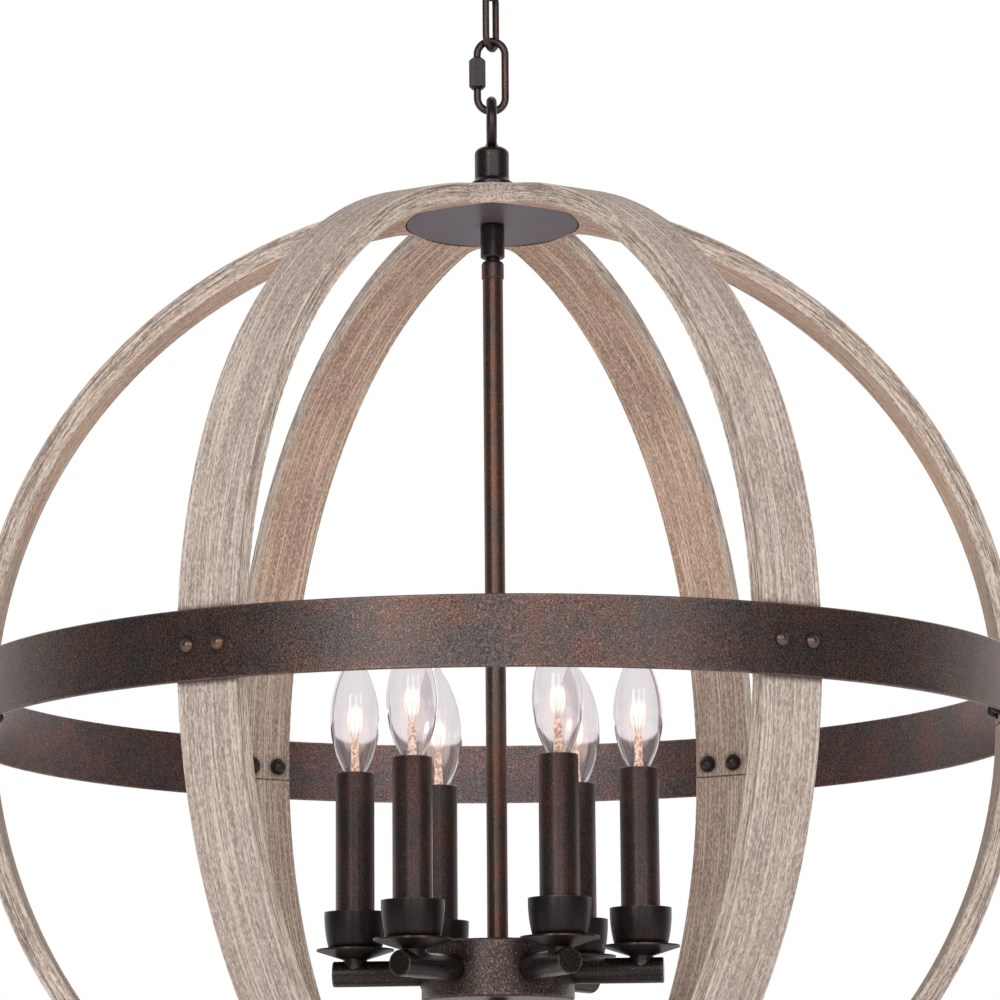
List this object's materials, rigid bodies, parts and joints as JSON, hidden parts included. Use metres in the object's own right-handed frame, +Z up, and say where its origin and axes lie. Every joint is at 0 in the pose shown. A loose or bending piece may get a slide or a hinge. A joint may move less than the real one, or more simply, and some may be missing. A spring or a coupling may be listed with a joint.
{
  "type": "orb chandelier",
  "caption": "Pendant light: an orb of bent wood ribs with a flat metal equator band and a candle cluster inside, hung by a quick link and chain from a ceiling canopy.",
  "frame": {"origin": "centre of the ceiling plane, midway between the mounting strap's slots", "axes": "+Z up out of the ceiling mount, +X to the right and +Y away in the picture's view"},
  "size_m": [0.7182, 0.7112, 0.9931],
  "materials": {
    "weathered_wood": "weathered grey-brown stain, open grain",
    "band_bronze": "dark bronze with fine rust speckle",
    "bolt_bronze": "dark bronze",
    "dark_bronze": "dark bronze with worn edges",
    "plate_bronze": "smooth dark bronze",
    "stem_bronze": "dark bronze with fine rust speckle",
    "hub_bronze": "dark bronze with fine rust speckle",
    "arm_bronze": "dark bronze with worn edges",
    "cup_bronze": "dark bronze with worn rims",
    "sleeve_bronze": "dark bronze with fine rust speckle",
    "chain_bronze": "dark bronze",
    "zinc_steel": "zinc plated",
    "holder_plastic": "moulded",
    "lead_jacket": "flexible jacket",
    "bulb_glass": "clear",
    "bulb_brass": "plain"
  },
  "bodies": {
    "ceiling_mount": {"mounting_strap": "zinc_steel", "ceiling_canopy": "dark_bronze", "canopy_nipple": "zinc_steel", "canopy_lock_nuts": "zinc_steel", "canopy_loop": "dark_bronze"},
    "upper_link": {"chain_link_upper": "chain_bronze"},
    "lower_link": {"chain_link_lower": "chain_bronze"},
    "quick_link": {"quick_link": "chain_bronze"},
    "quick_link_nut": {"quick_link_nut": "chain_bronze"},
    "fixture": {"rib_upper_1": "weathered_wood", "rib_lower_1": "weathered_wood", "rib_upper_2": "weathered_wood", "rib_lower_2": "weathered_wood", "rib_upper_3": "weathered_wood", "rib_lower_3": "weathered_wood", "rib_upper_4": "weathered_wood", "rib_lower_4": "weathered_wood", "rib_upper_5": "weathered_wood", "rib_lower_5": "weathered_wood", "rib_upper_6": "weathered_wood", "rib_lower_6": "weathered_wood", "equator_band": "band_bronze", "band_bolts": "bolt_bronze", "band_cap_nuts": "bolt_bronze", "hang_loop": "dark_bronze", "crown_washer": "dark_bronze", "stem_coupling": "dark_bronze", "base_finial": "dark_bronze", "hub_finial": "dark_bronze", "candle_posts": "dark_bronze", "crown_nipple": "dark_bronze", "crown_plate": "plate_bronze", "base_plate": "plate_bronze", "stem_tube": "stem_bronze", "hub_drum": "hub_bronze", "hub_cover": "hub_bronze", "arm_1": "arm_bronze", "arm_2": "arm_bronze", "arm_3": "arm_bronze", "arm_4": "arm_bronze", "arm_5": "arm_bronze", "arm_6": "arm_bronze", "candle_cups": "cup_bronze", "drip_saucers": "cup_bronze", "candle_sleeves": "sleeve_bronze", "arm_lock_rings": "zinc_steel", "lampholders": "holder_plastic", "wiring": "lead_jacket"},
    "bulb_1": {"bulb_1_glass": "bulb_glass", "bulb_1_base": "bulb_brass"},
    "bulb_2": {"bulb_2_glass": "bulb_glass", "bulb_2_base": "bulb_brass"},
    "bulb_3": {"bulb_3_glass": "bulb_glass", "bulb_3_base": "bulb_brass"},
    "bulb_4": {"bulb_4_glass": "bulb_glass", "bulb_4_base": "bulb_brass"},
    "bulb_5": {"bulb_5_glass": "bulb_glass", "bulb_5_base": "bulb_brass"},
    "bulb_6": {"bulb_6_glass": "bulb_glass", "bulb_6_base": "bulb_brass"}
  },
  "joints": [
    {"name": "upper_link_swing", "type": "hinge", "parent": "ceiling_mount", "child": "upper_link", "pos_m": [0, 0, -0.0856], "axis": [0, 1, 0], "range_deg": [-20, 20]},
    {"name": "lower_link_swing", "type": "hinge", "parent": "upper_link", "child": "lower_link", "pos_m": [0, 0, -0.121], "axis": [0.9816, -0.1908, 0], "range_deg": [-20, 20]},
    {"name": "quick_link_swing", "type": "hinge", "parent": "lower_link", "child": "quick_link", "pos_m": [0, 0, -0.1576], "axis": [0.4274, 0.9041, 0], "range_deg": [-20, 20]},
    {"name": "fixture_swing", "type": "hinge", "parent": "quick_link", "child": "fixture", "pos_m": [0, 0, -0.2026], "axis": [1, 0, 0], "range_deg": [-20, 20]},
    {"name": "quick_link_nut_slide", "type": "slide", "parent": "quick_link", "child": "quick_link_nut", "axis": [0, 0, 1], "range_m": [-0.0063, 0]},
    {"name": "bulb_1_unscrew", "type": "hinge", "parent": "fixture", "child": "bulb_1", "pos_m": [0.09485, -0.0093, -0.6771], "axis": [0, 0, 1], "range_deg": [0, 1080]},
    {"name": "bulb_2_unscrew", "type": "hinge", "parent": "fixture", "child": "bulb_2", "pos_m": [0.05548, 0.07749, -0.6771], "axis": [0, 0, 1], "range_deg": [0, 1080]},
    {"name": "bulb_3_unscrew", "type": "hinge", "parent": "fixture", "child": "bulb_3", "pos_m": [-0.03937, 0.08679, -0.6771], "axis": [0, 0, 1], "range_deg": [0, 1080]},
    {"name": "bulb_4_unscrew", "type": "hinge", "parent": "fixture", "child": "bulb_4", "pos_m": [-0.09485, 0.0093, -0.6771], "axis": [0, 0, 1], "range_deg": [0, 1080]},
    {"name": "bulb_5_unscrew", "type": "hinge", "parent": "fixture", "child": "bulb_5", "pos_m": [-0.05548, -0.07749, -0.6771], "axis": [0, 0, 1], "range_deg": [0, 1080]},
    {"name": "bulb_6_unscrew", "type": "hinge", "parent": "fixture", "child": "bulb_6", "pos_m": [0.03937, -0.08679, -0.6771], "axis": [0, 0, 1], "range_deg": [0, 1080]}
  ]
}
